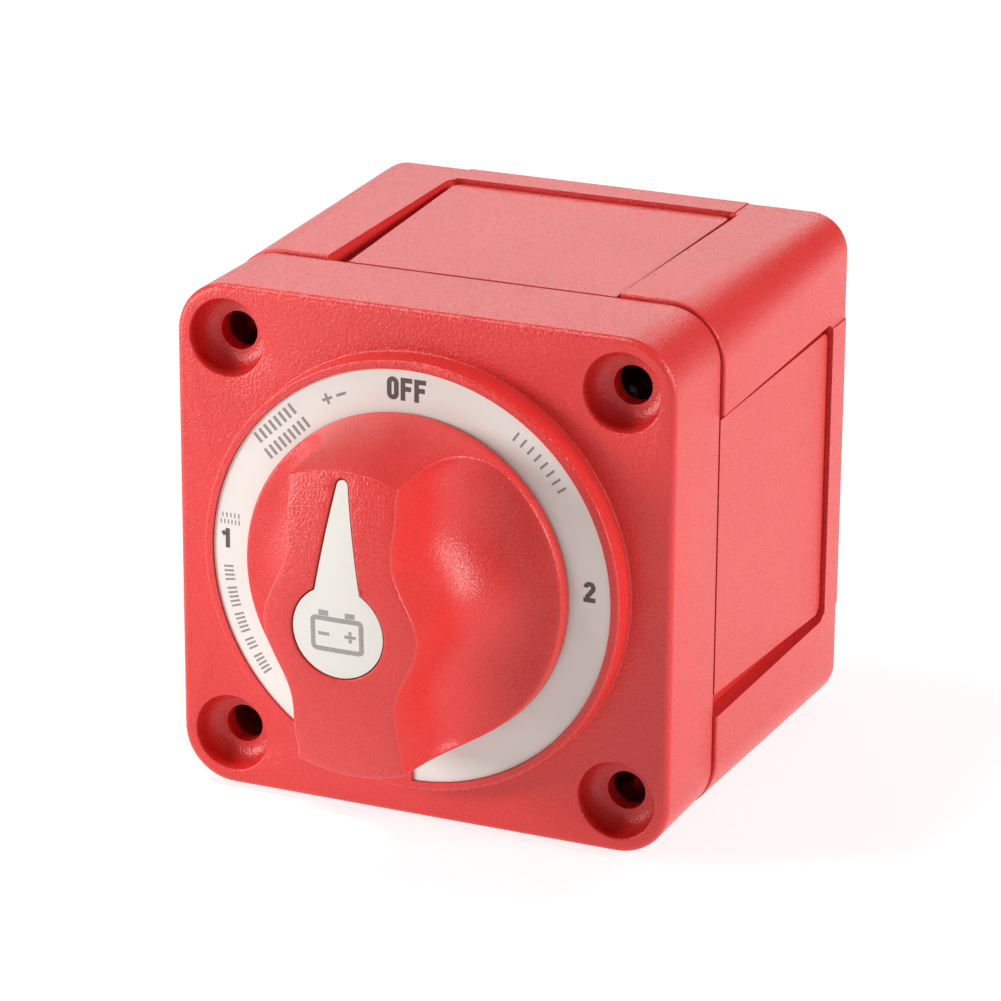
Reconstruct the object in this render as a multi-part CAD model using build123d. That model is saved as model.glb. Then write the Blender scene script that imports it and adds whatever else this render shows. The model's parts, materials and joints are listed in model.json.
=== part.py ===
from build123d import *
import math
import os

# Battery switch with a three-position knob, in millimetres.
# Origin: centre of the bezel's front face. +X right, +Y to the rear, +Z up.
# The knob turns about the Y axis and stands out towards -Y.

# Front bezel
BEZEL = 67.3            # side of the square
BEZEL_R = 7.0           # corner radius
BEZEL_DEPTH = 15.2
BEZEL_WALL = 2.6
FRONT_WALL = 3.0
EDGE = 0.9              # rounding of the front edge
SEAM_EDGE = 0.3         # rounding beside the seam
BOSS_R = 28.25
BOSS_TOP = -3.77
BOSS_EDGE = 0.35
BOSS_FOOT = 0.25        # small hollow rounding where the boss meets the face
RIB_X = (20.5, 23.5)    # guide ribs of the rear housing, on each side of the middle
RIB_ROOT = 29.4
RIB_TOP = (31.2, 30.65) # height inside the bezel, and of the tongue behind it
RIB_Y = (8.0, 15.0, 21.0)

# Mounting holes for number 10 screws
HOLE_AT = 26.65         # half the hole spacing
HOLE_R = 2.54
SINK_R = 5.1
SINK_DEPTH = 3.73
SINK_BOWL = 2.2         # rounding at the foot of the counterbore
SINK_LIP = 0.2
COLUMN_R = 6.8
COLUMN_END = 6.0

# Dial ring and the key that sits in its gap
LABEL_FACE = -3.44
LABEL_SEAT = -3.04
LABEL_R = 27.1
LABEL_GAP = 0.06
LABEL_BORE = 12.0
KEY_X = (-3.9, 0.55)
KEY_TOP = -21.95

# Knob: a slightly tapered drum with a crowned grip bar between two scoops
KNOB_R = 21.6
KNOB_BASE = -3.74
TAPER = 0.0882          # radius lost per millimetre of height
CROWN_R = 66.0          # sphere that crowns the top
CROWN_AT = 3.0          # height of its centre, so that the bar is tallest above the middle
KNOB_TOP = -24.5
KNOB_EDGE = 0.4         # rounding of the bar's edges and of the rim
FLANGE = 2.2            # height of the scoop floor over the dial
SCOOP_FOOT = 9.0        # height of the curved foot of the grip bar
# Scoop sections: height along the bar, half width of the bar, width of the foot
SCOOP_SECTIONS = (
    (19.3, 8.0, 8.0),
    (15.0, 7.1, 8.8),
    (10.5, 6.87, 9.9),
    (5.0, 8.6, 9.9),
    (0.0, 10.2, 9.6),
)
RELIEF_AT = 12.2        # square core-out pockets behind the bar
RELIEF = 4.2
RELIEF_TOP = -18.5

# Pointer insert
BADGE_R = 5.95
TIP_AT = 18.18          # centre of the pointer's rounded tip
TIP_R = 0.72
POINTER_ROOT = 3.85
POINTER_GAP = 0.17
POINTER_SINK = 0.22     # how far its face lies below the crown
POINTER_DEPTH = 1.65
POINTER_LIP = 0.2       # rounding of the recess's mouth

# Knob screw and spindle
SPINDLE_R = 5.0
SPINDLE_FRONT = -15.0
RUNNING = 0.05          # radial clearance of the turning fits
BEARING_R = 7.6
BEARING_END = 2.0
FLAT_AT = 4.0           # flat that drives the knob
FLAT_END = -3.6
SCREW_R = 1.55
SCREW_END = -6.0
SCREW_HEAD = (3.3, -20.3, -18.0)
ORING = (4.36, 0.6, -0.8)
ORING_GROOVE = (3.75, -1.7, 0.1)
COLLAR = (7.2, 2.55, 3.05)
HEX = 8.0               # across the flats that drive the rotor
PILOT_R = 2.6
PILOT_END = 13.5

# Mechanism cavity, rotor and detents
CAVITY_R = 24.2
CAVITY_FACE = 0.2
RING_R = 29.0
RING_END = 9.4
ROTOR_R = 22.5
ROTOR_Y = (0.8, 7.0)
SLOT_FLOOR = 5.1
SPRING_R = (1.2, 1.8)
SPRING_AT = (11.5, 17.5)
SPRING_FLOOR = 2.2
DETENT_AT = 19.0
DETENT_FLOOR = 5.6
PLUNGER_R = 2.0
PLUNGER_END = 3.45
DETENT_DEPTH = 0.8      # how far a plunger drops into its notch
STOP_LUG = 5.0          # half angle of the stop lug, degrees
STOP_GAP = 0.5
STOP_RIB = 6.5

# Contacts and base
STUD_AT = 16.0
CONTACT_Y = (9.4, 11.4)
CONTACT_R = 5.6
HUB_R = 6.5             # round end of the common contact, round the pilot
BLADE_Y = (5.75, 7.15)
BLADE_TIP = 9.3
BLADE_HALF = 3.1
BASE_Y = (10.2, 18.2)
POCKET_END = 13.4       # end of the hexagon pocket for the stud's head
SEAL_R = 6.6            # counterbore for the stud's seal
SEAL_Y = 16.4
BARRIER_END = 32.0      # walls between the terminals
BARRIER = 1.0
FIX_AT = 26.6           # screws that hold the base
FIX_HOLE = 1.6
FIX_PILOT = 1.25
FIX_SHANK = 1.2
FIX_HEAD = 2.6
STUD_R = 4.7625         # three eighths of an inch
STUD_END = 50.0
SHANK_R = 4.55          # relieved part of the stud, under the nuts
THREAD_GAP = 0.05
HEAD_AF = 12.0
NUT_AF = 14.29
STUDS = {"stud_1": (-STUD_AT, 0), "stud_2": (STUD_AT, 0), "stud_common": (0, -STUD_AT)}
JAM_Y = (18.25, 23.8)
FLAT_Y = (23.8, 25.4)
LOCK_Y = (25.4, 27.8)
NUT_Y = (27.8, 36.1)

# Rear housing and its side plates
HOUSING = 68.1
HOUSING_R = (8.0, 5.0)  # corner radius at the front and at the back
CORE_R = 3.6
HOUSING_Y = (15.65, 61.2)
HOUSING_WALL = 3.4
BACK_WALL = 3.0
WINDOW = (20.0, 20.8)   # half widths at the front and at the back
WINDOW_END = 55.5
WINDOW_R = 1.5
LEDGE = 2.8             # width of the ledge that the plate sits on
LEDGE_FACE = 31.9
PAD = (20.0, 0.15)      # low pad behind each window: half width and height
PLATE = (18.25, 19.7)
PLATE_END = 54.9
PLATE_FACE = 33.6
PLATE_SEAT = 31.95
PLATE_SKEW = {"top": 1.2, "right": -1.2, "bottom": 0.0, "left": 0.0}    # shift of the front end
LEG_X = (16.1, 17.2)
LEG_Y = (26.0, 42.0)
LEG_REACH = 4.0


def disc(r, y0, y1, x=0, z=0):
    """Cylinder along Y from y0 to y1."""
    return Pos(x, (y0 + y1) / 2, z) * Rot(90, 0, 0) * Cylinder(r, y1 - y0)


def ring(r_in, r_out, y0, y1, x=0, z=0):
    """Tube along Y from y0 to y1."""
    return disc(r_out, y0, y1, x, z) - disc(r_in, y0, y1, x, z)


def block(x0, x1, y0, y1, z0, z1):
    """Box between two corners."""
    return Pos((x0 + x1) / 2, (y0 + y1) / 2, (z0 + z1) / 2) * Box(x1 - x0, y1 - y0, z1 - z0)


def prism(sketch, y0, y1):
    """Outline in X and Z, made solid from y0 to y1."""
    return extrude(Plane.XZ.offset(-y1) * sketch, y1 - y0)


def hexagon(across, y0, y1, x=0, z=0):
    """Hexagonal bar along Y, measured across its flats."""
    return prism(Pos(x, z) * RegularPolygon(across / 2, 6, major_radius=False), y0, y1)


def sector(r_in, r_out, start, stop, y0, y1):
    """Part of a ring between two angles, counted from +X towards +Z."""
    outer = CenterArc((0, 0), r_out, start, stop - start)
    inner = CenterArc((0, 0), r_in, start, stop - start)
    sides = Line(outer @ 0, inner @ 0) + Line(outer @ 1, inner @ 1)
    return prism(make_face(outer + inner + sides), y0, y1)


def donut(major, minor, y, x=0, z=0):
    """O-ring about a line along Y."""
    return Pos(x, y, z) * Rot(90, 0, 0) * Torus(major, minor)


def cross(half, width, y0, y1):
    """Two crossed slots, as in a screw's head."""
    return block(-width, width, y0, y1, -half, half) + block(-half, half, y0, y1, -width, width)


def four(shape):
    """The shape and its copies at the other three sides."""
    return [Rot(0, turn, 0) * shape for turn in (0, 90, 180, 270)]


def diagonal(shape):
    """The shape and its copies on the four diagonals."""
    return [Rot(0, 45, 0) * item for item in four(shape)]


def corners(shape):
    """Copies of the shape at the four mounting holes."""
    return [Pos(x, 0, z) * shape for x in (-HOLE_AT, HOLE_AT) for z in (-HOLE_AT, HOLE_AT)]


def counterbore():
    """Cutter for one mounting hole."""
    sink = disc(SINK_R, -1, SINK_DEPTH)
    sink = fillet(sink.edges().group_by(Axis.Y)[-1], SINK_BOWL)
    return sink + disc(HOLE_R, 0, COLUMN_END + 1)


def bezel_outside():
    """Rounded square front with the raised boss and the four holes, still solid inside."""
    front = prism(RectangleRounded(BEZEL, BEZEL, BEZEL_R), 0, BEZEL_DEPTH)
    front = fillet(front.faces().sort_by(Axis.Y)[0].edges(), EDGE)
    front = fillet(front.faces().sort_by(Axis.Y)[-1].edges(), SEAM_EDGE)
    boss = disc(BOSS_R, BOSS_TOP, FRONT_WALL)
    boss = fillet(boss.edges().group_by(Axis.Y)[0], BOSS_EDGE)
    front += boss
    for hole in corners(counterbore()):
        front -= hole
    rims = front.edges().filter_by(GeomType.CIRCLE).filter_by(lambda e: abs(e.center().Y) < 0.01)
    front = fillet(rims.filter_by(lambda e: abs(e.radius - SINK_R) < 0.01), SINK_LIP)
    foot = front.edges().filter_by(GeomType.CIRCLE).filter_by(lambda e: abs(e.center().Y) < 0.01)
    return fillet(foot.filter_by(lambda e: abs(e.radius - BOSS_R) < 0.01), BOSS_FOOT)


def housing_ribs():
    """Ribs that guide the rear housing, two on each side."""
    rib = block(*RIB_X, RIB_Y[0], RIB_Y[1], RIB_ROOT, RIB_TOP[0])
    rib += block(*RIB_X, RIB_Y[0], RIB_Y[2], RIB_ROOT, RIB_TOP[1])
    return four(rib + mirror(rib, about=Plane.YZ))


def detent_notch():
    """Round hollow that a plunger's nose drops into."""
    centre = CAVITY_FACE + RUNNING + PLUNGER_R - DETENT_DEPTH
    return Pos(DETENT_AT, centre, 0) * Sphere(PLUNGER_R + 0.1)


def hollow_front():
    """Bezel outside, cored out from behind, with the ring round the mechanism and the columns."""
    half = BEZEL - 2 * BEZEL_WALL
    core = prism(RectangleRounded(half, half, BEZEL_R - BEZEL_WALL), FRONT_WALL, BEZEL_DEPTH + 1)
    for column in corners(disc(COLUMN_R, FRONT_WALL, COLUMN_END) - disc(HOLE_R, 0, COLUMN_END)):
        core -= column
    core -= ring(CAVITY_R - 1, RING_R, FRONT_WALL, RING_END)
    return bezel_outside() - core


def front_bezel():
    body = hollow_front()
    for rib in housing_ribs():
        body += rib
    body -= disc(CAVITY_R, CAVITY_FACE, RING_END + 1)
    body -= disc(LABEL_R, BOSS_TOP - 1, LABEL_SEAT)
    body += block(KEY_X[0], KEY_X[1], BOSS_TOP, LABEL_SEAT, -LABEL_R - 0.3, KEY_TOP)
    body += disc(BEARING_R, LABEL_FACE, BEARING_END)
    body -= disc(SPINDLE_R + RUNNING, BOSS_TOP, BEARING_END + 1)
    for notch in four(detent_notch()):
        body -= notch
    for start in (STOP_LUG + STOP_GAP, 180 - STOP_LUG - STOP_GAP - STOP_RIB):
        body += sector(CAVITY_R - 1.3, CAVITY_R + 1, start, start + STOP_RIB, 0, ROTOR_Y[1])
    for pilot in diagonal(disc(FIX_PILOT, FRONT_WALL + 0.6, RING_END + 1, FIX_AT, 0)):
        body -= pilot
    return body


def dial_label():
    gap = block(KEY_X[0] - 0.05, KEY_X[1] + 0.05, LABEL_FACE - 1, LABEL_SEAT + 1, -LABEL_R, KEY_TOP + 0.1)
    return ring(LABEL_BORE, LABEL_R - LABEL_GAP, LABEL_FACE, LABEL_SEAT) - gap


def scoop_section(z, half, foot):
    """Outline of the space beside the grip bar, at one height along the bar."""
    floor = LABEL_FACE - FLANGE
    bend = floor - SCOOP_FOOT
    side = KNOB_R + 10
    front = KNOB_TOP - 10
    wall = Line((half, front), (half, bend))
    curve = EllipticalCenterArc((half + foot, bend), foot, SCOOP_FOOT, 180, arc_size=-90)
    rest = Polyline((half + foot, floor), (side, floor), (side, front), (half, front))
    return Plane.XY.offset(z) * make_face(wall + curve + rest)


def scoop():
    """Space beside the grip bar, on the +X side."""
    upper = [scoop_section(z, half, foot) for z, half, foot in SCOOP_SECTIONS]
    lower = [scoop_section(-z, half, foot) for z, half, foot in SCOOP_SECTIONS[-2::-1]]
    return loft(upper + lower)


def crown(sink=0.0):
    """Ball whose front is the crowned top of the knob, sunk by the given amount."""
    return Pos(0, KNOB_TOP + CROWN_R, CROWN_AT) * Sphere(CROWN_R - sink)


def grip():
    """Outside of the knob: drum, crowned bar and two scoops, with all outer edges rounded."""
    height = KNOB_BASE - KNOB_TOP + 1
    drum = Cone(KNOB_R, KNOB_R - TAPER * height, height)
    body = Pos(0, KNOB_BASE - height / 2, 0) * Rot(90, 0, 0) * drum
    body &= crown()
    side = scoop()
    body -= side
    body -= mirror(side, about=Plane.YZ)
    outside = body.faces().filter_by(GeomType.SPHERE) + body.faces().filter_by(GeomType.CONE)
    edges = ShapeList(set(outside.edges()))
    return fillet(edges.filter_by(lambda e: e.center().Y < KNOB_BASE - 1.5), KNOB_EDGE)


def pointer_outline(grow=0.0):
    """Round badge with the tapered pointer, grown all round."""
    root = POINTER_ROOT + grow
    tip = TIP_R + grow
    blade = make_face(Polyline((-root, 0), (root, 0), (tip, TIP_AT), (-tip, TIP_AT), (-root, 0)))
    return Circle(BADGE_R + grow) + blade + Pos(0, TIP_AT) * Circle(tip)


def knob():
    body = grip()
    body -= prism(pointer_outline(POINTER_GAP), KNOB_TOP - 6, -15) - crown(POINTER_DEPTH)
    mouth = body.faces().filter_by(GeomType.SPHERE).sort_by(SortBy.AREA)[-1].inner_wires()[0]
    body = fillet(mouth.edges(), POINTER_LIP)
    for z in (-RELIEF_AT, RELIEF_AT):
        body -= block(-RELIEF, RELIEF, RELIEF_TOP, 0, z - RELIEF, z + RELIEF)
    socket = disc(SPINDLE_R + RUNNING, SPINDLE_FRONT - RUNNING, 0)
    body -= socket - block(FLAT_AT + RUNNING, 6, SPINDLE_FRONT - 1, 0, -6, 6)
    body -= disc(2.0, SCREW_HEAD[2] - 1, SPINDLE_FRONT + 1)
    return body - disc(SCREW_HEAD[0] + 0.2, KNOB_TOP + 1, SCREW_HEAD[2])


def knob_pointer():
    body = prism(pointer_outline(), KNOB_TOP - 6, -15) & crown(POINTER_SINK)
    return body - crown(POINTER_DEPTH - 0.03)


def knob_screw():
    radius, front, seat = SCREW_HEAD
    head = disc(radius, front, seat)
    head = fillet(head.edges().group_by(Axis.Y)[0], 0.8)
    return head + disc(SCREW_R, seat, SCREW_END) - cross(2, 0.35, front - 1, front + 1.1)


def spindle():
    body = disc(SPINDLE_R, SPINDLE_FRONT, COLLAR[1])
    body -= block(FLAT_AT, 6, SPINDLE_FRONT - 1, FLAT_END, -6, 6)
    body -= ring(ORING_GROOVE[0], 6, ORING_GROOVE[1], ORING_GROOVE[2])
    body += disc(*COLLAR)
    body += hexagon(HEX, COLLAR[2], SLOT_FLOOR - 0.05)
    body += disc(PILOT_R, SLOT_FLOOR - 0.05, PILOT_END)
    return body - disc(SCREW_R + RUNNING, SPINDLE_FRONT - 1, SCREW_END + 1)


def rotor():
    body = disc(ROTOR_R, ROTOR_Y[0], ROTOR_Y[1])
    lug = 270 - STOP_LUG
    body += sector(ROTOR_R - 1, CAVITY_R - 0.3, lug, lug + 2 * STOP_LUG, ROTOR_Y[0] + 0.2, ROTOR_Y[1])
    body -= disc(8, ROTOR_Y[0], COLLAR[2] + 0.05)
    body -= hexagon(HEX + 0.06, COLLAR[2], SLOT_FLOOR)
    body -= disc(7, SLOT_FLOOR, ROTOR_Y[1])
    body -= block(-3.3, 3.3, SLOT_FLOOR, ROTOR_Y[1], 0, 20.5)
    for x in (-DETENT_AT, DETENT_AT):
        body -= disc(PLUNGER_R + 0.06, ROTOR_Y[0], DETENT_FLOOR, x, 0)
    for z in SPRING_AT:
        body -= disc(2, SPRING_FLOOR, SLOT_FLOOR, 0, z)
    return body


def contact_blade():
    body = disc(6.8, BLADE_Y[0], BLADE_TIP)
    body += block(-BLADE_HALF, BLADE_HALF, BLADE_Y[0], BLADE_Y[1], 0, 19.8)
    body += disc(3, BLADE_Y[0], BLADE_TIP, 0, STUD_AT)
    return body - disc(3, BLADE_Y[0], BLADE_TIP)


def detent_plunger(x):
    """Pin with a domed nose, held just clear of the face it rides on."""
    nose = CAVITY_FACE + RUNNING
    pin = disc(PLUNGER_R - 0.01, nose + PLUNGER_R, PLUNGER_END, x, 0)
    ball = Pos(x, nose + PLUNGER_R, 0) * Sphere(PLUNGER_R - 0.01)
    return pin + ball - disc(3, PLUNGER_END, 6, x, 0)


def stud_bore(x, z):
    """Cutter in the base for one stud: hexagon pocket, bore and seal counterbore."""
    pocket = hexagon(HEAD_AF + 0.1, BASE_Y[0], POCKET_END, x, z)
    bore = disc(SHANK_R + THREAD_GAP, POCKET_END - 0.4, BASE_Y[1] + 1, x, z)
    return pocket + bore + disc(SEAL_R, SEAL_Y, BASE_Y[1], x, z)


def contact_base():
    body = disc(RING_R, BASE_Y[0], BASE_Y[1])
    for angle, length in ((90, 22), (225, 14), (315, 14)):
        wall = block(0, length, BASE_Y[1] - 1, BARRIER_END, -BARRIER, BARRIER)
        body += Rot(0, -angle, 0) * wall
    for x, z in STUDS.values():
        body -= stud_bore(x, z)
    body -= disc(HUB_R + 0.1, BASE_Y[0], CONTACT_Y[1])
    body -= block(-3.6, 3.6, BASE_Y[0], CONTACT_Y[1], -STUD_AT, 0)
    body -= disc(PILOT_R + RUNNING, CONTACT_Y[1], PILOT_END + 0.7)
    for hole in diagonal(disc(FIX_HOLE, BASE_Y[0], BASE_Y[1], FIX_AT, 0)):
        body -= hole
    return body


def base_gasket():
    body = ring(CAVITY_R + 0.2, RING_R - 0.1, RING_END, BASE_Y[0])
    for hole in diagonal(disc(FIX_HOLE, RING_END, BASE_Y[0], FIX_AT, 0)):
        body -= hole
    return body


def base_screw():
    top = BASE_Y[1] + 2
    head = disc(FIX_HEAD, BASE_Y[1], top)
    head = fillet(head.edges().group_by(Axis.Y)[-1], 0.7)
    screw = head - cross(1.5, 0.3, top - 1, top + 1) + disc(FIX_SHANK, FRONT_WALL + 1, BASE_Y[1])
    return Pos(FIX_AT, 0, 0) * screw


def stud(x, z):
    end = disc(STUD_R, NUT_Y[1], STUD_END, x, z)
    end = chamfer(end.edges().group_by(Axis.Y)[-1], 0.6)
    shank = disc(SHANK_R, CONTACT_Y[1], NUT_Y[1], x, z)
    return hexagon(HEAD_AF, CONTACT_Y[1], POCKET_END, x, z) + shank + end


def common_contact():
    body = disc(HUB_R, CONTACT_Y[0], CONTACT_Y[1])
    body += block(-3.5, 3.5, CONTACT_Y[0], CONTACT_Y[1], -STUD_AT, 0)
    body += disc(CONTACT_R, CONTACT_Y[0], CONTACT_Y[1], 0, -STUD_AT)
    return body - disc(3.2, CONTACT_Y[0], CONTACT_Y[1])


def nut(y0, y1, x, z):
    """Hexagon nut with its corners chamfered on both faces."""
    corner = NUT_AF / math.sqrt(3)
    shape = disc(corner, y0, y1, x, z)
    shape = chamfer(shape.edges().filter_by(GeomType.CIRCLE), 0.6)
    shape &= hexagon(NUT_AF, y0, y1, x, z)
    return shape - disc(SHANK_R + THREAD_GAP, y0, y1, x, z)


def flat_washer(y0, y1, x, z):
    return ring(STUD_R + 0.2, 9.5, y0, y1, x, z)


def lock_washer(y0, y1, x, z):
    """Split spring washer."""
    return ring(STUD_R + 0.2, 8, y0, y1, x, z) - block(x - 0.5, x + 0.5, y0, y1, z, z + 9)


def at_studs(make, span):
    """One stacked piece on each of the three studs."""
    return [make(span[0], span[1], x, z) for x, z in STUDS.values()]


def tapered(front, back, y0, y1, z0, z1, skew=0.0):
    """Flat trapezoid between two heights, narrower at the front."""
    outline = Polyline((skew - front, y0), (skew + front, y0), (back, y1), (-back, y1), (skew - front, y0))
    face = fillet(make_face(outline).vertices().group_by(Axis.Y)[-1], WINDOW_R)
    return extrude(Plane.XY.offset(z0) * face, z1 - z0)


def housing_outside():
    """Square shell, still solid, with its corners sharper at the back and a pad on each side."""
    ends = [Plane.XZ.offset(-y) * RectangleRounded(HOUSING, HOUSING, r) for y, r in zip(HOUSING_Y, HOUSING_R)]
    body = loft(ends)
    body = fillet(body.faces().sort_by(Axis.Y)[0].edges(), SEAM_EDGE)
    body = fillet(body.faces().sort_by(Axis.Y)[-1].edges(), EDGE)
    top = HOUSING / 2 + PAD[1]
    pad = block(-PAD[0], PAD[0], WINDOW_END - 1, HOUSING_Y[1], top - 2, top)
    pad = fillet(pad.edges().group_by(Axis.Z)[-1].sort_by(Axis.Y)[-1], EDGE)
    for side in four(pad):
        body += side
    return body


def rear_housing():
    y0, y1 = HOUSING_Y
    half = HOUSING - 2 * HOUSING_WALL
    above = HOUSING / 2 + 6
    body = housing_outside() - prism(RectangleRounded(half, half, CORE_R), y0 - 1, y1 - BACK_WALL)
    cut = tapered(WINDOW[0], WINDOW[1], y0 - 1, WINDOW_END, LEDGE_FACE, above)
    cut += tapered(WINDOW[0] - LEDGE, WINDOW[1] - LEDGE, y0 - 1, WINDOW_END - LEDGE, 25, above)
    for side in four(cut):
        body -= side
    for hole in corners(disc(HOLE_R, y1 - BACK_WALL - 1, y1 + 1)):
        body -= hole
    return body


def side_plate(skew):
    """Plate of the upper window, with two pairs of legs that grip the ledge."""
    body = tapered(PLATE[0], PLATE[1], HOUSING_Y[0], PLATE_END, PLATE_SEAT, PLATE_FACE, skew)
    for y in LEG_Y:
        leg = block(*LEG_X, y - 4, y + 4, PLATE_SEAT - LEG_REACH, PLATE_SEAT + 0.2)
        body += leg + mirror(leg, about=Plane.YZ)
    return body


def save(name, shape):
    """Write one node; a list of separate solids becomes one group."""
    if isinstance(shape, list):
        shape = Compound(children=[solid for item in shape for solid in item.solids()])
    export_step(shape, f"parts/{name}.step")


os.makedirs("parts", exist_ok=True)
save("front_bezel", front_bezel())
save("dial_label", dial_label())
save("knob", knob())
save("knob_pointer", knob_pointer())
save("knob_screw", knob_screw())
save("spindle", spindle())
save("spindle_oring", donut(*ORING))
save("spindle_washer", ring(SPINDLE_R + 0.15, 7.3, BEARING_END + 0.02, COLLAR[1] - 0.03))
save("rotor", rotor())
save("contact_blade", contact_blade())
save("blade_springs", [ring(*SPRING_R, SPRING_FLOOR, BLADE_Y[0], 0, z) for z in SPRING_AT])
for number, x in ((1, -DETENT_AT), (2, DETENT_AT)):
    save(f"detent_plunger_{number}", detent_plunger(x))
    save(f"detent_spring_{number}", ring(*SPRING_R, PLUNGER_END, DETENT_FLOOR, x, 0))
save("contact_base", contact_base())
save("base_gasket", base_gasket())
save("base_screws", diagonal(base_screw()))
for number, x in ((1, -STUD_AT), (2, STUD_AT)):
    save(f"fixed_contact_{number}", disc(CONTACT_R, CONTACT_Y[0], CONTACT_Y[1], x, 0))
save("common_contact", common_contact())
for name, (x, z) in STUDS.items():
    save(name, stud(x, z))
save("stud_orings", [donut(5.6, 0.85, 17.3, x, z) for x, z in STUDS.values()])
save("jam_nuts", at_studs(nut, JAM_Y))
save("flat_washers", at_studs(flat_washer, FLAT_Y))
save("lock_washers", at_studs(lock_washer, LOCK_Y))
save("terminal_nuts", at_studs(nut, NUT_Y))
save("rear_housing", rear_housing())
for number, (side, skew) in enumerate(PLATE_SKEW.items()):
    save(f"side_plate_{side}", Rot(0, 90 * number, 0) * side_plate(skew))
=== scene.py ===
import json
import math

import bmesh
import bpy
from mathutils import Matrix, Vector
from mathutils.bvhtree import BVHTree


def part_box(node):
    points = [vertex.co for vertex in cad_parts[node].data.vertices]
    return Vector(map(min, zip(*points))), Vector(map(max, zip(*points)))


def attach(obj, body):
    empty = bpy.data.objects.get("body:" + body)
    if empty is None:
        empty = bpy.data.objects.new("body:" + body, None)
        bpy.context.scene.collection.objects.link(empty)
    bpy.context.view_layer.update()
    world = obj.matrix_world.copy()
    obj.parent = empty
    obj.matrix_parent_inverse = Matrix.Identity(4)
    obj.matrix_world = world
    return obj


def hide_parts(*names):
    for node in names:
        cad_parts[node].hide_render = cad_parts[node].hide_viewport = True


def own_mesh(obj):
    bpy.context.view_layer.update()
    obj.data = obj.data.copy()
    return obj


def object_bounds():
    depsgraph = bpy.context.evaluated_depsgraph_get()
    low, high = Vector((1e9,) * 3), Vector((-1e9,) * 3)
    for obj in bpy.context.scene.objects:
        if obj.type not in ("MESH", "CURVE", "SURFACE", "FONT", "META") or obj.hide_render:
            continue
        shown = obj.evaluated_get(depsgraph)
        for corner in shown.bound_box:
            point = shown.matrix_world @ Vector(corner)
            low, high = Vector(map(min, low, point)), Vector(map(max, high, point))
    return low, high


# Looks of the battery switch. Metres, the CAD's own frame:
# +X right, +Y to the rear, +Z up, origin at the centre of the bezel's front face.
MM = 0.001
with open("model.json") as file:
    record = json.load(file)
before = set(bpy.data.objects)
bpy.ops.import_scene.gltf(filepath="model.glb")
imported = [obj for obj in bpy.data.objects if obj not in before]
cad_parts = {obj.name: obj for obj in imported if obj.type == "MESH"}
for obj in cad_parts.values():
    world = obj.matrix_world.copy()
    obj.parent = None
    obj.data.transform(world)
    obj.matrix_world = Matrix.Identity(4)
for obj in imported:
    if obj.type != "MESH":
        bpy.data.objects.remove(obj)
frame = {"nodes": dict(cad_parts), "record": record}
cad_low, cad_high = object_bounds()


# ---------------------------------------------------------------- materials

def material(name):
    """New node material: returns it, its shader and a function that adds linked nodes."""
    mat = bpy.data.materials.new(name)
    mat.use_nodes = True
    tree = mat.node_tree
    tree.nodes.clear()
    out = tree.nodes.new("ShaderNodeOutputMaterial")
    shader = tree.nodes.new("ShaderNodeBsdfPrincipled")
    tree.links.new(shader.outputs["BSDF"], out.inputs["Surface"])

    def add(kind, inputs=None, **settings):
        node = tree.nodes.new(kind)
        for key, value in settings.items():
            setattr(node, key, value)
        for key, value in (inputs or {}).items():
            if isinstance(value, bpy.types.NodeSocket):
                tree.links.new(value, node.inputs[key])
            else:
                node.inputs[key].default_value = value
        return node

    def link(socket, target):
        tree.links.new(socket, shader.inputs[target])

    return mat, shader, add, link


def noise(add, where, scale, detail=2.0, rough=0.5, stretch=None):
    """Noise in object space; scale is in features per metre."""
    source = where
    if stretch:
        source = add("ShaderNodeMapping", {"Vector": where, "Scale": stretch}).outputs["Vector"]
    made = add("ShaderNodeTexNoise", {"Vector": source, "Scale": scale, "Detail": detail, "Roughness": rough})
    return made.outputs["Fac"]


def ramp(add, factor, stops):
    """Colour ramp with (position, colour) stops."""
    node = add("ShaderNodeValToRGB", {"Fac": factor})
    elements = node.color_ramp.elements
    while len(elements) < len(stops):
        elements.new(0.5)
    for element, (position, colour) in zip(elements, stops):
        element.position = position
        element.color = (*colour, 1.0)
    return node.outputs["Color"]


def span(add, factor, low, high, first, last):
    """Remap of a value from first and last to low and high."""
    node = add("ShaderNodeMapRange", {"Value": factor, "From Min": first, "From Max": last,
                                      "To Min": low, "To Max": high})
    return node.outputs["Result"]


def blend_colour(add, factor, one, two):
    """Mix of two colours."""
    node = add("ShaderNodeMix", data_type="RGBA")
    tree = node.id_data
    for index, value in ((0, factor), (6, one), (7, two)):
        if isinstance(value, bpy.types.NodeSocket):
            tree.links.new(value, node.inputs[index])
        elif index == 0:
            node.inputs[index].default_value = value
        else:
            node.inputs[index].default_value = (*value, 1.0)
    return node.outputs[2]


def bump(add, height, distance, strength, under=None):
    """Relief from a height value, on top of another relief if there is one."""
    inputs = {"Height": height, "Distance": distance, "Strength": strength}
    if under is not None:
        inputs["Normal"] = under
    return add("ShaderNodeBump", inputs).outputs["Normal"]


def place(add):
    """Object coordinates, which move with the piece."""
    return add("ShaderNodeTexCoord").outputs["Object"]


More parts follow.
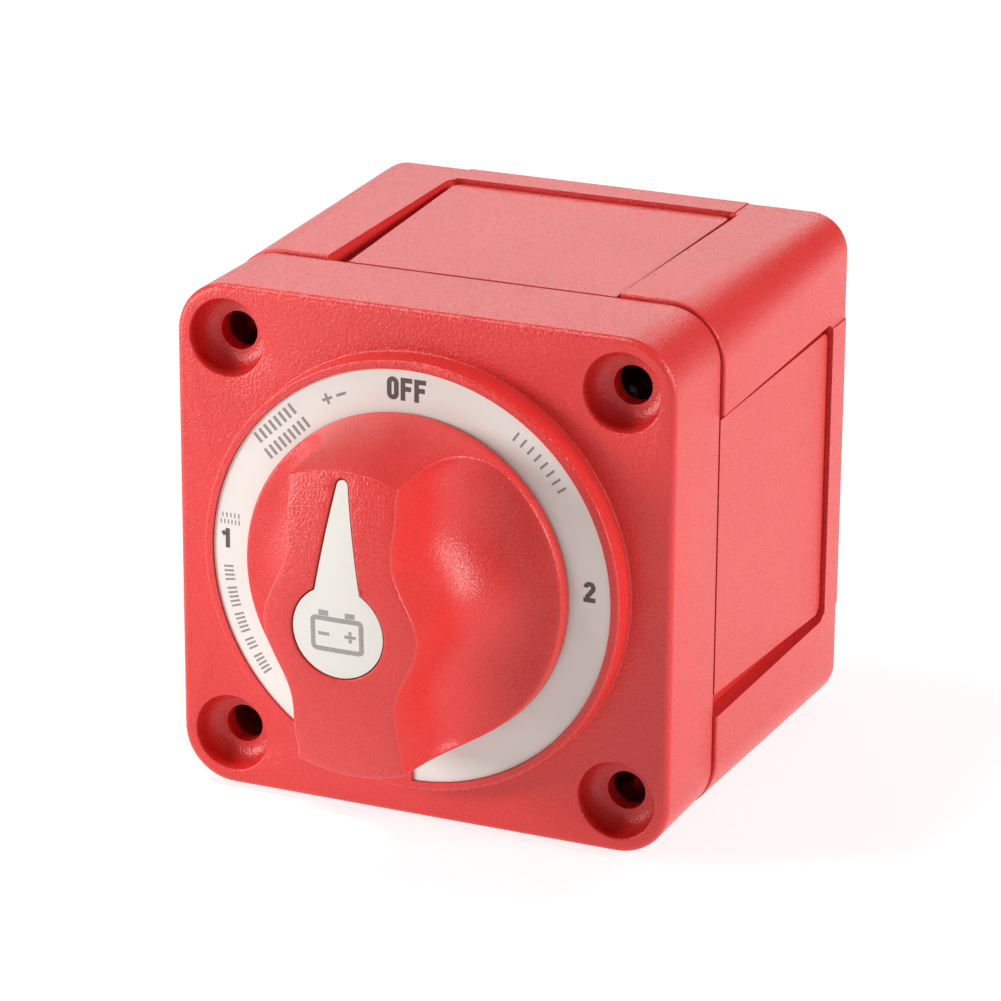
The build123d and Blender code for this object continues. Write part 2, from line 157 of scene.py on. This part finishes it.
def moulded(name, deep, mid, light, grain, relief, gloss):
    """Moulded plastic with spark-eroded grain: slight mottling, fine relief, uneven gloss."""
    mat, shader, add, link = material(name)
    where = place(add)
    cloud = noise(add, where, 45, 3, 0.55)
    fine = noise(add, where, grain, 3, 0.62)
    coarse = noise(add, where, grain * 0.42, 2, 0.5)
    cells = add("ShaderNodeTexVoronoi", {"Vector": where, "Scale": grain * 0.8},
                feature="SMOOTH_F1").outputs["Distance"]
    base = ramp(add, cloud, ((0.32, mid), (0.70, light)))
    pits = ramp(add, fine, ((0.36, (0.0, 0.0, 0.0)), (0.56, (1.0, 1.0, 1.0))))
    link(blend_colour(add, pits, blend_colour(add, 0.20, base, deep), base), "Base Color")
    link(span(add, fine, gloss - 0.06, gloss + 0.08, 0.3, 0.7), "Roughness")
    low = bump(add, coarse, relief * 1.2 * MM, 0.6)
    mid_relief = bump(add, cells, relief * MM, 0.8, low)
    link(bump(add, fine, relief * MM, 1.0, mid_relief), "Normal")
    shader.inputs["IOR"].default_value = 1.50
    return mat


def film():
    """Printed label film: off-white, faint mottle and a very light orange-peel."""
    mat, shader, add, link = material("label_film")
    where = place(add)
    cloud = noise(add, where, 90, 3, 0.5)
    fine = noise(add, where, 5200, 2, 0.6)
    link(ramp(add, cloud, ((0.3, (0.715, 0.715, 0.665)), (0.7, (0.755, 0.760, 0.715)))), "Base Color")
    link(span(add, fine, 0.40, 0.52, 0.3, 0.7), "Roughness")
    link(bump(add, fine, 0.006 * MM, 0.5, bump(add, cloud, 0.05 * MM, 0.4)), "Normal")
    shader.inputs["IOR"].default_value = 1.46
    return mat


def print_ink(name, colour):
    """Ink with slightly uneven cover."""
    mat, shader, add, link = material(name)
    where = place(add)
    cover = noise(add, where, 3800, 3, 0.6)
    light = tuple(min(1.0, c * 1.35 + 0.01) for c in colour)
    link(ramp(add, cover, ((0.35, colour), (0.75, light))), "Base Color")
    link(span(add, cover, 0.42, 0.60, 0.3, 0.7), "Roughness")
    link(bump(add, cover, 0.004 * MM, 0.5), "Normal")
    return mat


def rubber():
    mat, shader, add, link = material("seal_rubber")
    where = place(add)
    fine = noise(add, where, 2500, 3, 0.6)
    link(ramp(add, fine, ((0.3, (0.012, 0.012, 0.013)), (0.7, (0.030, 0.029, 0.028)))), "Base Color")
    link(span(add, fine, 0.55, 0.72, 0.3, 0.7), "Roughness")
    link(bump(add, fine, 0.02 * MM, 0.5), "Normal")
    return mat


def metal(name, dark, light, gloss, brushing=(1.0, 1.0, 1.0), scale=900, stain=None):
    """Metal with tool marks, uneven tone and optional tarnish."""
    mat, shader, add, link = material(name)
    where = place(add)
    marks = noise(add, where, scale, 4, 0.6, brushing)
    cloud = noise(add, where, 130, 3, 0.55)
    tone = ramp(add, marks, ((0.3, dark), (0.7, light)))
    if stain:
        patch = ramp(add, cloud, ((0.52, (0.0, 0.0, 0.0)), (0.72, (1.0, 1.0, 1.0))))
        tone = blend_colour(add, patch, tone, stain)
    link(tone, "Base Color")
    link(span(add, marks, gloss - 0.07, gloss + 0.10, 0.3, 0.7), "Roughness")
    link(bump(add, marks, 0.01 * MM, 0.5, bump(add, cloud, 0.04 * MM, 0.25)), "Normal")
    shader.inputs["Metallic"].default_value = 1.0
    return mat


FLOOR_GLOW = 0.76


def floor_paper():
    """Pale studio paper that carries its own light, so that shadows on it stay faint."""
    mat, shader, add, link = material("floor_paper")
    where = place(add)
    fibre = noise(add, where, 700, 4, 0.6)
    link(ramp(add, fibre, ((0.3, (0.32, 0.32, 0.32)), (0.7, (0.38, 0.38, 0.38)))), "Base Color")
    link(bump(add, fibre, 0.02 * MM, 0.2), "Normal")
    shader.inputs["Roughness"].default_value = 0.9
    shader.inputs["Specular IOR Level"].default_value = 0.0
    shader.inputs["Emission Color"].default_value = (1.0, 1.0, 1.0, 1.0)
    shader.inputs["Emission Strength"].default_value = FLOOR_GLOW
    return mat


RED = dict(deep=(0.36, 0.010, 0.010), mid=(0.66, 0.030, 0.026), light=(0.72, 0.038, 0.034))

MATERIALS = {
    "red_plastic": moulded("red_plastic", grain=4300, relief=0.060, gloss=0.30, **RED),
    "label_print": film(),
    "pointer_plastic": moulded("pointer_plastic", (0.66, 0.63, 0.56), (0.72, 0.69, 0.63), (0.75, 0.73, 0.67),
                               2600, 0.006, 0.38),
    "black_plastic": moulded("black_plastic", (0.008, 0.008, 0.009), (0.020, 0.020, 0.022),
                             (0.032, 0.032, 0.034), 2600, 0.020, 0.48),
    "grey_nylon": moulded("grey_nylon", (0.36, 0.36, 0.34), (0.47, 0.47, 0.45), (0.55, 0.55, 0.53),
                          2200, 0.012, 0.45),
    "copper": metal("copper", (0.60, 0.27, 0.17), (0.80, 0.42, 0.29), 0.32, (1.0, 1.0, 0.12), 1100,
                    (0.33, 0.15, 0.10)),
    "tinned_copper": metal("tinned_copper", (0.56, 0.55, 0.51), (0.72, 0.71, 0.67), 0.36,
                           stain=(0.42, 0.41, 0.37)),
    "stainless_steel": metal("stainless_steel", (0.46, 0.46, 0.46), (0.66, 0.66, 0.65), 0.28,
                             (1.0, 0.15, 1.0), 1400),
    "silver_contact": metal("silver_contact", (0.68, 0.68, 0.66), (0.84, 0.84, 0.82), 0.30,
                            stain=(0.42, 0.40, 0.34)),
    "seal_rubber": rubber(),
}
DARK_INK = print_ink("dark_ink", (0.075, 0.060, 0.052))
GREY_INK = print_ink("grey_ink", (0.22, 0.21, 0.195))
BADGE_INK = print_ink("badge_ink", (0.27, 0.26, 0.245))


# ------------------------------------------------------------ CAD node looks

CORNER = math.radians(24)      # sharper edges than this stay sharp
WELD = 0.0005 * MM


def smooth_group():
    """Geometry nodes that close the seams between CAD faces and keep only real corners sharp."""
    tree = bpy.data.node_groups.new("smooth_cad", "GeometryNodeTree")
    tree.interface.new_socket("Geometry", in_out="INPUT", socket_type="NodeSocketGeometry")
    tree.interface.new_socket("Geometry", in_out="OUTPUT", socket_type="NodeSocketGeometry")
    new = tree.nodes.new
    start, end = new("NodeGroupInput"), new("NodeGroupOutput")
    weld = new("GeometryNodeMergeByDistance")
    weld.inputs["Distance"].default_value = WELD
    faces = new("GeometryNodeSetShadeSmooth")
    faces.domain = "FACE"
    edges = new("GeometryNodeSetShadeSmooth")
    edges.domain = "EDGE"
    edges.inputs["Shade Smooth"].default_value = False
    angle = new("GeometryNodeInputMeshEdgeAngle")
    compare = new("FunctionNodeCompare")
    compare.data_type = "FLOAT"
    compare.operation = "GREATER_THAN"
    compare.inputs[1].default_value = CORNER
    join = tree.links.new
    join(start.outputs[0], weld.inputs["Geometry"])
    join(weld.outputs[0], faces.inputs["Geometry"])
    join(faces.outputs[0], edges.inputs["Geometry"])
    join(angle.outputs["Unsigned Angle"], compare.inputs[0])
    join(compare.outputs[0], edges.inputs["Selection"])
    join(edges.outputs[0], end.inputs[0])
    return tree


SMOOTH = smooth_group()
SLOTS = {row["node"]: row["material_slot"] for row in frame["record"]["subparts"]}
for node, obj in frame["nodes"].items():
    obj.data.materials.clear()
    obj.data.materials.append(MATERIALS[SLOTS[node]])
    obj.modifiers.new("smooth", "NODES").node_group = SMOOTH


# --------------------------------------------------------------- mesh tools

def piece(name, mesh, mat, body, stands_for=()):
    """A finished mesh as a piece that rides on a body."""
    obj = bpy.data.objects.new(name, mesh)
    bpy.context.scene.collection.objects.link(obj)
    mesh.materials.clear()
    mesh.materials.append(mat)
    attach(obj, body)
    if stands_for:
        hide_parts(*stands_for)
    return obj


def to_mesh(name, bm, smooth=True, angle=35):
    """bmesh to mesh, welded, with outward normals and sharp corners."""
    bmesh.ops.remove_doubles(bm, verts=bm.verts, dist=0.0004 * MM)
    bmesh.ops.recalc_face_normals(bm, faces=bm.faces)
    mesh = bpy.data.meshes.new(name)
    bm.to_mesh(mesh)
    bm.free()
    if smooth:
        mesh.shade_smooth()
        mesh.set_sharp_from_angle(angle=math.radians(angle))
    return mesh


def tube(bm, path, radius, sides=12):
    """Round wire along a path of (point, side direction) pairs, with closed ends."""
    rings = []
    for index, (point, side) in enumerate(path):
        before = path[max(index - 1, 0)][0]
        after = path[min(index + 1, len(path) - 1)][0]
        along = (after - before).normalized()
        across = (side - along * side.dot(along)).normalized()
        third = along.cross(across)
        rings.append([bm.verts.new(point + radius * (math.cos(t) * across + math.sin(t) * third))
                      for t in (2 * math.pi * k / sides for k in range(sides))])
    for one, two in zip(rings, rings[1:]):
        for k in range(sides):
            bm.faces.new((one[k], one[(k + 1) % sides], two[(k + 1) % sides], two[k]))
    bm.faces.new(rings[0])
    bm.faces.new(rings[-1])


def coil(bm, x, z, y0, y1, mean, wire, turns, steps=28):
    """Compression spring along Y with its end turns closed."""
    low, high = y0 + wire, y1 - wire
    path = []
    total = int(turns * steps)
    for i in range(total + 1):
        t = i / total
        rise = min(max((t * turns - 0.75) / (turns - 1.5), 0.0), 1.0)
        end = 2 * wire * 0.72
        y = low + end * min(t * turns / 0.75, 1.0) + (high - low - 2 * end) * rise
        y += end * min(max((t * turns - turns + 0.75) / 0.75, 0.0), 1.0)
        a = 2 * math.pi * t * turns
        side = Vector((math.cos(a), 0, math.sin(a)))
        path.append((Vector((x, y, z)) + side * mean, side))
    tube(bm, path, wire)


# ------------------------------------------------------------------ springs

SPRING_WIRE = 0.27 * MM        # radius of the wire
SPRING_PLAY = 0.03 * MM


def node_centres(node, count):
    """Middles (x, z) of the separate solids of a node, found from its vertices."""
    low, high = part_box(node)
    if count == 1:
        return [((low.x + high.x) / 2, (low.z + high.z) / 2)]
    half = (high.x - low.x) / 2
    return [((low.x + high.x) / 2, low.z + half), ((low.x + high.x) / 2, high.z - half)]


for node, count, name, turns in (("blade_springs", 2, "blade_coils", 5.5),
                                 ("detent_spring_1", 1, "detent_coil_1", 4.5),
                                 ("detent_spring_2", 1, "detent_coil_2", 4.5)):
    low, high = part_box(node)
    mean = (high.x - low.x) / 2 - SPRING_WIRE - SPRING_PLAY
    bm = bmesh.new()
    for x, z in node_centres(node, count):
        coil(bm, x, z, low.y, high.y, mean, SPRING_WIRE, turns)
    coils = piece(name, to_mesh(name, bm), MATERIALS["stainless_steel"], "knob", (node,))
    if node == "blade_springs":
        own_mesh(coils)


# ------------------------------------------------------------ threaded studs

STUD_RADIUS = 4.7625 * MM      # three eighths of an inch thread, 16 turns to the inch
PITCH = 25.4 / 16 * MM
HEAD_LENGTH = 2.0 * MM
THREAD_DEPTH = 0.61 * PITCH


def thread(bm, x, z, y0, y1, outer, steps=40):
    """Helical V thread between two heights, fading out at both ends."""
    root = outer - THREAD_DEPTH
    profile = ((0.0, root), (0.14, root), (0.50, outer), (0.62, outer))
    turns = int((y1 - y0) / PITCH) + 2
    rows = []
    for i in range(turns * steps + 1):
        a = 2 * math.pi * i / steps
        row = []
        for shift, radius in profile:
            y = y0 - PITCH + PITCH * (i / steps + shift)
            y = min(max(y, y0), y1)
            fade = min((y - y0) / (0.5 * MM), (y1 - y) / (1.0 * MM), 1.0)
            r = root + (radius - root) * max(fade, 0.0)
            row.append(bm.verts.new((x + r * math.cos(a), y, z + r * math.sin(a))))
        rows.append(row)
    for i in range(len(rows) - 1):
        for k in range(len(profile) - 1):
            bm.faces.new((rows[i][k], rows[i + 1][k], rows[i + 1][k + 1], rows[i][k + 1]))
        if i + 1 + steps < len(rows):
            bm.faces.new((rows[i][-1], rows[i + 1][-1], rows[i + 1 + steps][0], rows[i + steps][0]))
    bmesh.ops.remove_doubles(bm, verts=bm.verts, dist=0.001 * MM)
    bmesh.ops.dissolve_degenerate(bm, dist=0.001 * MM, edges=bm.edges)
    bmesh.ops.holes_fill(bm, edges=[e for e in bm.edges if e.is_boundary], sides=0)


def hex_head(bm, x, z, y0, y1, across):
    """Six-sided head with a small bevel on both faces."""
    corner = across / math.sqrt(3)
    bevel = 0.25 * MM
    levels = ((y0, corner - bevel), (y0 + bevel, corner), (y1 - bevel, corner), (y1, corner - bevel))
    rings = []
    for y, r in levels:
        rings.append([bm.verts.new((x + r * math.cos(math.radians(60 * k)), y,
                                    z + r * math.sin(math.radians(60 * k)))) for k in range(6)])
    for one, two in zip(rings, rings[1:]):
        for k in range(6):
            bm.faces.new((one[k], one[(k + 1) % 6], two[(k + 1) % 6], two[k]))
    bm.faces.new(rings[0])
    bm.faces.new(rings[-1])


for node in ("stud_1", "stud_2", "stud_common"):
    low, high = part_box(node)
    x, z = (low.x + high.x) / 2, (low.z + high.z) / 2
    bm = bmesh.new()
    thread(bm, x, z, low.y + HEAD_LENGTH * 0.5, high.y, STUD_RADIUS)
    hex_head(bm, x, z, low.y, low.y + HEAD_LENGTH, high.z - low.z)
    piece(f"threaded_{node}", to_mesh(f"threaded_{node}", bm, angle=28),
          MATERIALS["tinned_copper"], "case", (node,))


# -------------------------------------------------------------- printed marks

INK = 0.012 * MM


def surface_of(node):
    """Search tree of a CAD node's mesh, for laying prints on it."""
    mesh = frame["nodes"][node].data
    points = [v.co.copy() for v in mesh.vertices]
    return BVHTree.FromPolygons(points, [tuple(p.vertices) for p in mesh.polygons])


def lay(tree, x, z, lift):
    """Point on the front of a surface, lifted off it."""
    hit = tree.ray_cast(Vector((x, -0.1, z)), Vector((0, 1, 0)))[0]
    return Vector((x, hit.y - lift, z))


def offset_path(points, width, closed):
    """Left and right edges of a stroke with mitred corners."""
    pairs = []
    count = len(points)
    for i, p in enumerate(points):
        before = points[i - 1] if i > 0 or closed else None
        after = points[(i + 1) % count] if i < count - 1 or closed else None
        dirs = [d.normalized() for d in ((p - before) if before is not None else None,
                                         (after - p) if after is not None else None) if d is not None]
        tangent = sum(dirs, Vector((0, 0))).normalized()
        normal = Vector((-tangent.y, tangent.x))
        stretch = 1.0 / max(normal.dot(Vector((-dirs[0].y, dirs[0].x))), 0.35)
        pairs.append((p + normal * width / 2 * stretch, p - normal * width / 2 * stretch))
    return pairs


def stroke(bm, tree, points, width, closed=False):
    """Flat ink stroke along 2-D points (x, z in metres), laid on a surface as a thin closed solid."""
    pairs = offset_path([Vector(p) for p in points], width, closed)
    rows = []
    for left, right in pairs:
        section = ((left, INK), (right, INK), (right, -INK), (left, -INK))
        rows.append([bm.verts.new(lay(tree, at.x, at.y, lift)) for at, lift in section])
    links = list(zip(rows, rows[1:]))
    if closed:
        links.append((rows[-1], rows[0]))
    for one, two in links:
        for k in range(4):
            bm.faces.new((one[k], one[(k + 1) % 4], two[(k + 1) % 4], two[k]))
    if not closed:
        bm.faces.new(rows[0])
        bm.faces.new(rows[-1])


def arc(cx, cz, rx, rz, start, stop, steps):
    """Points of an elliptical arc, angles in degrees."""
    return [(cx + rx * math.cos(math.radians(start + (stop - start) * i / steps)),
             cz + rz * math.sin(math.radians(start + (stop - start) * i / steps))) for i in range(steps + 1)]


def glyph(letter, w, h, pen):
    """Centre lines of a bold condensed sign in a w by h cell; each is (points, closed)."""
    a, b = pen / 2, h - pen / 2
    if letter == "O":
        r = w / 2 - a
        top = arc(w / 2, b - r, r, r, 0, 180, 14)
        low = arc(w / 2, a + r, r, r, 180, 360, 14)
        return [(top + low, True)]
    if letter == "F":
        return [([(a, 0), (a, h)], False), ([(pen, b), (w, b)], False),
                ([(pen, h * 0.52), (w * 0.90, h * 0.52)], False)]
    if letter == "1":
        return [([(w - a, 0), (w - a, h)], False), ([(w - pen, h * 0.80), (0.0, h * 0.68)], False)]
    r = w / 2 - a
    bowl = arc(w / 2, b - r, r, r, 180, -35, 16)
    return [(bowl + [(a * 1.3, pen * 0.95)], False), ([(0, a), (w, a)], False)]


def write(bm, tree, text, cx, cz, w, h, pen, gap):
    """Upright signs centred on a point."""
    total = len(text) * w + (len(text) - 1) * gap
    x = cx - total / 2
    for letter in text:
        for points, closed in glyph(letter, w, h, pen):
            stroke(bm, tree, [(x + px, cz - h / 2 + pz) for px, pz in points], pen, closed)
        x += w + gap


def tick_row(bm, tree, radius, start, stop, height, width, words):
    """Upright ticks along an arc, in groups, as a neutral scale; angles in degrees from +X."""
    count = sum(words) + len(words) - 1
    place_at = 0
    for group in words:
        for _ in range(group):
            a = math.radians(start + (stop - start) * (place_at + 0.5) / count)
            out = Vector((math.cos(a), math.sin(a)))
            stroke(bm, tree, [out * (radius - height / 2), out * (radius + height / 2)], width)
            place_at += 1
        place_at += 1


def tick_line(bm, tree, cx, cz, length, lean, height, width, words):
    """Ticks along a straight line that leans by an angle."""
    count = sum(words) + len(words) - 1
    along = Vector((math.cos(math.radians(lean)), math.sin(math.radians(lean))))
    up = Vector((-along.y, along.x))
    centre = Vector((cx, cz))
    place_at = 0
    for group in words:
        for _ in range(group):
            at = centre + along * length * ((place_at + 0.5) / count - 0.5)
            stroke(bm, tree, [at - up * height / 2, at + up * height / 2], width)
            place_at += 1
        place_at += 1


def plus_and_minus(bm, tree, cx, cz, lean):
    """Small plus and minus side by side, leaning by an angle."""
    arm, apart, pen = 0.72 * MM, 1.05 * MM, 0.36 * MM
    level = Vector((math.cos(math.radians(lean)), math.sin(math.radians(lean))))
    along = level * arm
    across = Vector((-along.y, along.x))
    for side in (-1, 1):
        middle = Vector((cx, cz)) + level * side * apart
        stroke(bm, tree, [middle - along, middle + along], pen)
        if side < 0:
            gap = across.normalized() * pen / 2
            stroke(bm, tree, [middle + gap, middle + across], pen)
            stroke(bm, tree, [middle - gap, middle - across], pen)


def rounded_box(left, right, low, high, r, spacing):
    """Closed outline of a box with round corners, with points no further apart than the spacing."""
    points = []
    for px, pz, start in ((right, high, 0), (left, high, 90), (left, low, 180), (right, low, 270)):
        cx = px - math.copysign(r, px)
        cz = pz - math.copysign(r, pz - (high + low) / 2)
        points += arc(cx, cz, r, r, start, start + 90, 5)
    dense = []
    for one, two in zip(points, points[1:] + points[:1]):
        steps = max(1, int((Vector(two) - Vector(one)).length / spacing))
        dense += [tuple(Vector(one).lerp(Vector(two), k / steps)) for k in range(steps)]
    return dense


label = surface_of("dial_label")
bm = bmesh.new()
write(bm, label, "OFF", -0.3 * MM, 24.5 * MM, 1.58 * MM, 2.95 * MM, 0.63 * MM, 0.26 * MM)
write(bm, label, "2", 24.2 * MM, 1.9 * MM, 1.60 * MM, 2.70 * MM, 0.60 * MM, 0.0)
write(bm, label, "1", -25.3 * MM, 1.5 * MM, 1.05 * MM, 2.60 * MM, 0.60 * MM, 0.0)
piece("position_marks", to_mesh("position_marks", bm, smooth=False), DARK_INK, "case")

bm = bmesh.new()
tick_row(bm, label, 25.0 * MM, 56.5, 34.0, 1.35 * MM, 0.30 * MM, (8,))
tick_row(bm, label, 25.1 * MM, 184.5, 219.0, 1.35 * MM, 0.26 * MM, (4, 5, 5, 3, 5))
tick_line(bm, label, -18.25 * MM, 17.70 * MM, 7.4 * MM, 43, 1.55 * MM, 0.42 * MM, (8,))
tick_line(bm, label, -16.60 * MM, 16.00 * MM, 8.0 * MM, 43, 1.55 * MM, 0.42 * MM, (9,))
tick_line(bm, label, -24.6 * MM, 4.6 * MM, 2.8 * MM, 0, 0.62 * MM, 0.18 * MM, (5,))
tick_line(bm, label, -24.7 * MM, 3.7 * MM, 3.0 * MM, 0, 0.62 * MM, 0.18 * MM, (6,))
plus_and_minus(bm, label, -10.1 * MM, 22.3 * MM, 24)
piece("scale_marks", to_mesh("scale_marks", bm, smooth=False), GREY_INK, "case")

# Battery sign on the pointer's badge
pointer = surface_of("knob_pointer")
bm = bmesh.new()
WIDTH, HEIGHT, PEN, THIN = 6.4 * MM, 4.0 * MM, 0.62 * MM, 0.42 * MM
MIDDLE = -0.3 * MM             # height of the sign's middle
POLE = 1.75 * MM               # distance of each pole from the middle
ARM = 0.75 * MM
box_top = MIDDLE + HEIGHT / 2
outline = rounded_box(-WIDTH / 2, WIDTH / 2, MIDDLE - HEIGHT / 2, box_top, 0.45 * MM, 0.6 * MM)
stroke(bm, pointer, outline, PEN, closed=True)
for x in (-POLE, POLE):
    foot = box_top + PEN / 2
    stroke(bm, pointer, [(x, foot + 0.06 * MM), (x, foot + ARM)], 1.3 * MM)
    stroke(bm, pointer, [(x - ARM, MIDDLE), (x + ARM, MIDDLE)], THIN)
stroke(bm, pointer, [(POLE, MIDDLE + 0.25 * MM), (POLE, MIDDLE + ARM)], THIN)
stroke(bm, pointer, [(POLE, MIDDLE - 0.25 * MM), (POLE, MIDDLE - ARM)], THIN)
piece("battery_sign", to_mesh("battery_sign", bm, smooth=False), BADGE_INK, "knob")


# ----------------------------------------------------------- camera and light

YAW, PITCH_DOWN, ROLL = (math.radians(v) for v in (23.40, 19.60, 0.365))
LENS = 160.9
DISTANCE = 549.9 * MM
outward = Vector((math.sin(YAW), -math.cos(YAW), 0))
back = outward * math.cos(PITCH_DOWN) + Vector((0, 0, math.sin(PITCH_DOWN)))
level = Vector((math.cos(YAW), math.sin(YAW), 0))
rise = back.cross(level)
right_hand = level * math.cos(ROLL) + rise * math.sin(ROLL)
up_hand = rise * math.cos(ROLL) - level * math.sin(ROLL)
target = Vector((10.82, 0, 10.67)) * MM
lens = bpy.data.cameras.new("camera")
lens.lens = LENS
lens.sensor_width = 36.0
lens.clip_start, lens.clip_end = 0.05, 20.0
camera = bpy.data.objects.new("camera", lens)
bpy.context.scene.collection.objects.link(camera)
turn = Matrix((right_hand, up_hand, back)).transposed().to_4x4()
camera.matrix_world = Matrix.Translation(target + back * DISTANCE) @ turn
bpy.context.scene.camera = camera


def softbox(name, place_at, aim, width, height, power):
    """Large rectangular area light aimed at a point."""
    data = bpy.data.lights.new(name, "AREA")
    data.shape = "RECTANGLE"
    data.size, data.size_y = width, height
    data.energy = power
    lamp = bpy.data.objects.new(name, data)
    bpy.context.scene.collection.objects.link(lamp)
    lamp.location = place_at
    lamp.rotation_euler = (Vector(aim) - Vector(place_at)).to_track_quat("-Z", "Y").to_euler()


softbox("key_right", (1.10, 0.05, 0.42), (0, 0.02, 0), 0.36, 0.36, 11.0)
softbox("top", (-0.28, -0.10, 0.62), (0, 0.0, 0), 0.16, 0.16, 2.4)
softbox("rear", (-0.55, 1.20, 0.55), (0, 0.03, 0.03), 1.2, 0.5, 5)
softbox("front_left", (-0.30, -0.22, 0.08), (-0.01, 0, 0), 0.12, 0.12, 1.1)

world = bpy.data.worlds.new("studio")
world.use_nodes = True
sky = world.node_tree.nodes["Background"]
sky.inputs["Color"].default_value = (1.0, 1.0, 1.0, 1.0)
sky.inputs["Strength"].default_value = 0.16
bpy.context.scene.world = world

# Floor: one large round sheet just under the object
FLOOR_RADIUS = 6.0
FLOOR_GAP = 0.05 * MM
bm = bmesh.new()
bmesh.ops.create_circle(bm, cap_ends=True, radius=FLOOR_RADIUS, segments=96)
floor_mesh = bpy.data.meshes.new("floor")
bm.to_mesh(floor_mesh)
bm.free()
floor = bpy.data.objects.new("floor", floor_mesh)
floor.location.z = cad_low.z - FLOOR_GAP
floor.data.materials.append(floor_paper())
bpy.context.scene.collection.objects.link(floor)

bpy.context.scene.view_settings.view_transform = "Standard"
